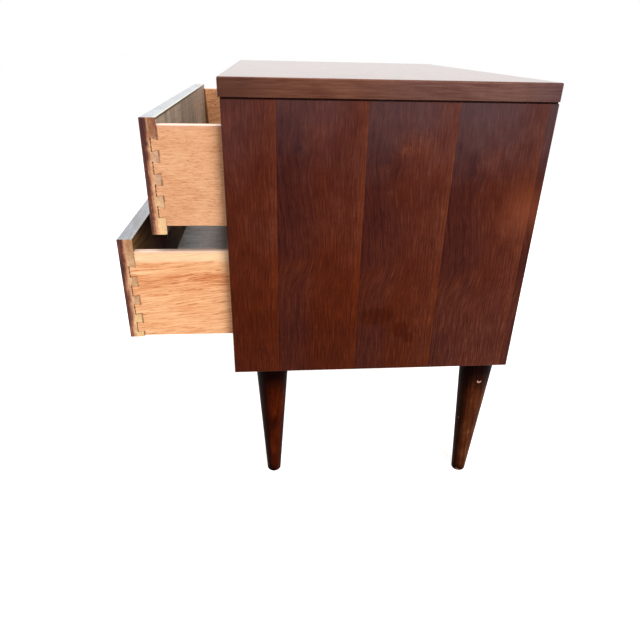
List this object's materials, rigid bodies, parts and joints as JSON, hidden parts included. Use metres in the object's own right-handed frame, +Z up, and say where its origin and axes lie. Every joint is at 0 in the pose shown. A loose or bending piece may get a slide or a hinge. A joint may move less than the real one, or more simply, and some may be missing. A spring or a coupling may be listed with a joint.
{
  "type": "nightstand",
  "caption": "Veneered nightstand on turned tapered legs, with sliding dovetailed drawers standing partly open.",
  "frame": {"origin": "on the floor, under the middle of the whole footprint at rest, which runs from the lower drawer's pull to the back edge of the top", "axes": "+Z up; the drawers open towards -Y and the wall is on the +Y side; +X is to the right seen from the front"},
  "size_m": [0.6, 0.563, 0.602],
  "materials": {
    "maple": "waxed",
    "oak": "bare oak, lightly sealed",
    "plywood": "bare plywood",
    "poplar": "bare sawn wood",
    "walnut_legs": "dark satin stain",
    "walnut_solid": "satin lacquer",
    "walnut_veneer": "satin lacquer on slip-matched walnut veneer",
    "zinc_steel": "zinc plated"
  },
  "bodies": {
    "case": {"back_panel": "plywood", "base_front_rail": "walnut_solid", "bottom_panel": "plywood", "closing_stops": "maple", "divider_back_rail": "poplar", "divider_front_rail": "poplar", "leg_back_left": "walnut_legs", "leg_back_right": "walnut_legs", "leg_bolts": "zinc_steel", "leg_front_left": "walnut_legs", "leg_front_right": "walnut_legs", "lower_guide": "maple", "lower_runner_left": "poplar", "lower_runner_right": "poplar", "mid_kicker_left": "poplar", "mid_kicker_right": "poplar", "side_panel_left": "walnut_veneer", "side_panel_right": "walnut_veneer", "top_back_rail": "poplar", "top_front_rail": "poplar", "top_kicker_left": "poplar", "top_kicker_right": "poplar", "top_rail_facing": "walnut_solid", "top_slab": "walnut_veneer", "upper_centre_rail": "poplar", "upper_guide": "maple", "upper_runner_left": "poplar", "upper_runner_right": "poplar"},
    "upper_drawer": {"upper_drawer_back": "oak", "upper_drawer_bottom": "plywood", "upper_drawer_front": "walnut_solid", "upper_drawer_guide_cheek_left": "maple", "upper_drawer_guide_cheek_right": "maple", "upper_drawer_pull": "walnut_solid", "upper_drawer_side_left": "oak", "upper_drawer_side_right": "oak", "upper_drawer_stop_tabs": "maple"},
    "lower_drawer": {"lower_drawer_back": "oak", "lower_drawer_bottom": "plywood", "lower_drawer_front": "walnut_solid", "lower_drawer_guide_cheek_left": "maple", "lower_drawer_guide_cheek_right": "maple", "lower_drawer_pull": "walnut_solid", "lower_drawer_side_left": "oak", "lower_drawer_side_right": "oak", "lower_drawer_stop_tabs": "maple"}
  },
  "joints": [
    {"name": "upper_drawer_slide", "type": "slide", "parent": "case", "child": "upper_drawer", "axis": [0, -1, 0], "range_m": [-0.096, 0.166]},
    {"name": "lower_drawer_slide", "type": "slide", "parent": "case", "child": "lower_drawer", "axis": [0, -1, 0], "range_m": [-0.1415, 0.1205]}
  ]
}
